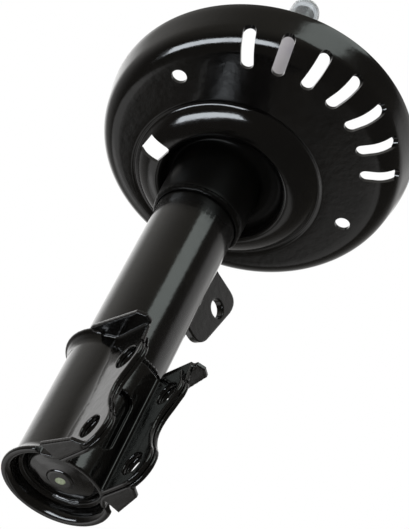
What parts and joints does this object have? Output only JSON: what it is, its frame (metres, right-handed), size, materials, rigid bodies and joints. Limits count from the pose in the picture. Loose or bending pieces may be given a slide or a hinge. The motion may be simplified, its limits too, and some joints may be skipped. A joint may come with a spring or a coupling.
{
  "type": "suspension strut assembly",
  "caption": "Black painted twin-tube suspension strut with a dished slotted spring seat, knuckle clamp, hose tab and sliding chromed rod.",
  "frame": {"origin": "centre of the base cap's flat face, on the damper's axis", "axes": "+Z along the damper's axis towards the rod's free end, +X the way the knuckle clamp's ears point, +Y to the side with the brake hose tab"},
  "size_m": [0.1956, 0.1956, 0.4374],
  "materials": {
    "black_paint": "gloss black electro-dip paint with light orange peel",
    "chrome_rod": "hard chrome, polished",
    "clear_cap": "milky clear polyethylene transport cap",
    "steel": "drawn and turned steel, oiled",
    "sintered_iron": "fine-grained sintered iron",
    "spring_steel": "blued shim steel",
    "bronze_bush": "rolled bronze bush with a dark lining",
    "rubber": "moulded nitrile rubber",
    "piston_band": "bronze-filled fluoropolymer"
  },
  "bodies": {
    "damper_body": {"reserve_tube": "black_paint", "base_cap": "black_paint", "base_weld": "black_paint", "bump_plate": "black_paint", "clamp_outer": "black_paint", "clamp_inner": "black_paint", "clamp_weld_upper": "black_paint", "clamp_weld_web": "black_paint", "spring_seat": "black_paint", "seat_weld": "black_paint", "hose_tab": "black_paint", "tab_weld_upper": "black_paint", "tab_weld_lower": "black_paint", "pressure_tube": "steel", "rod_guide": "sintered_iron", "guide_bush": "bronze_bush", "rod_seal": "rubber", "seal_washer": "steel", "base_valve_body": "sintered_iron", "base_valve_rivet": "steel", "base_blowoff_disc": "spring_steel", "base_check_spring": "spring_steel"},
    "base_intake_valve": {"base_check_plate": "spring_steel"},
    "sliding_band": {"piston_band": "piston_band"},
    "rod": {"piston_rod": "chrome_rod", "rod_end_cap": "clear_cap", "piston": "sintered_iron", "piston_nut": "steel", "piston_valve_discs": "spring_steel", "piston_check_spring": "spring_steel", "piston_washer": "steel", "rebound_stop": "steel", "rebound_bumper": "rubber"},
    "piston_intake_valve": {"piston_check_plate": "spring_steel"}
  },
  "joints": [
    {"name": "rod_slide", "type": "slide", "parent": "damper_body", "child": "sliding_band", "axis": [0, 0, 1], "range_m": [-0.072, 0.074]},
    {"name": "rod_turn", "type": "hinge", "parent": "sliding_band", "child": "rod", "pos_m": [0, 0, 0.1], "axis": [0, 0, 1], "continuous": true},
    {"name": "piston_plate_lift", "type": "slide", "parent": "rod", "child": "piston_intake_valve", "axis": [0, 0, 1], "range_m": [0, 0.001], "stiffness_N_per_m": 300, "springref_m": -0.001},
    {"name": "base_plate_lift", "type": "slide", "parent": "damper_body", "child": "base_intake_valve", "axis": [0, 0, 1], "range_m": [0, 0.001], "stiffness_N_per_m": 300, "springref_m": -0.001}
  ]
}
